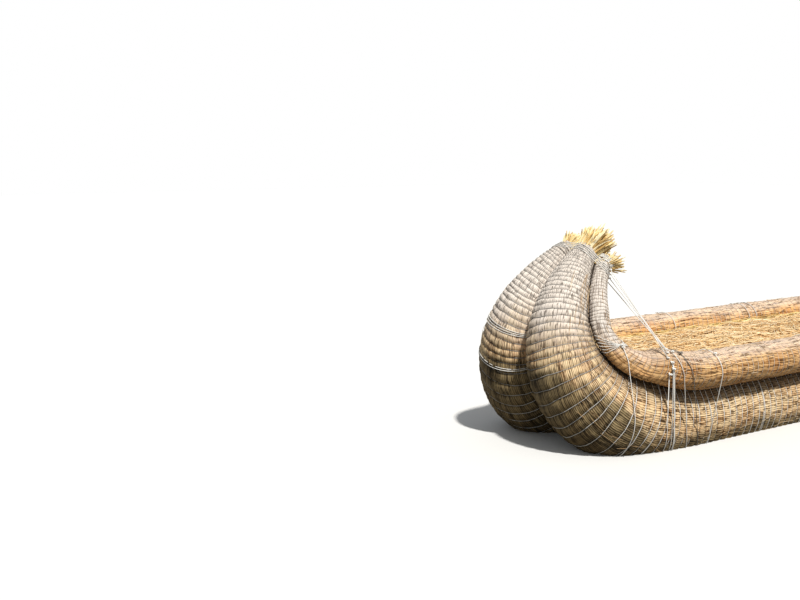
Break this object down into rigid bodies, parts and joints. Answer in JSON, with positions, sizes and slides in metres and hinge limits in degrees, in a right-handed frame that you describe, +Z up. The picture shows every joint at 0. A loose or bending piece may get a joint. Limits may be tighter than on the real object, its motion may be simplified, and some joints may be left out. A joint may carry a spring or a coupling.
{
  "type": "reed boat",
  "caption": "Double-ended lake boat of bundled reed with ribbed hull and gunwale rolls, curled tufted ends, a straw-covered deck, rope lashings and stays.",
  "frame": {"origin": "on the ground under the middle of the hull, where its two hull bundles rest", "axes": "+X forward to the bow, +Y to port, +Z up; the boat is level, and its waterline is 0.17 m above the origin"},
  "size_m": [5.7976, 1.4568, 1.528],
  "materials": {
    "reed": "matte",
    "gunwale_reed": "matte",
    "straw": "matte",
    "tuft_reed": "matte",
    "rope": "matte"
  },
  "bodies": {
    "root": {"hull_bundle_port": "reed", "hull_bundle_starboard": "reed", "heart_bundle": "reed", "gunwale_bundle_port": "gunwale_reed", "gunwale_bundle_starboard": "gunwale_reed", "deck_bed": "straw", "deck_pile": "straw", "hull_cinches_port": "rope", "hull_cinches_starboard": "rope", "gunwale_lashings_port": "rope", "gunwale_lashings_starboard": "rope", "bow_collar": "rope", "stern_collar": "rope", "bow_stays": "rope", "stern_stays": "rope", "bow_hull_tuft_port": "tuft_reed", "bow_hull_tuft_starboard": "tuft_reed", "bow_gunwale_tuft_port": "tuft_reed", "bow_gunwale_tuft_starboard": "tuft_reed", "stern_hull_tuft_port": "tuft_reed", "stern_hull_tuft_starboard": "tuft_reed", "stern_gunwale_tuft_port": "tuft_reed", "stern_gunwale_tuft_starboard": "tuft_reed"}
  },
  "joints": []
}
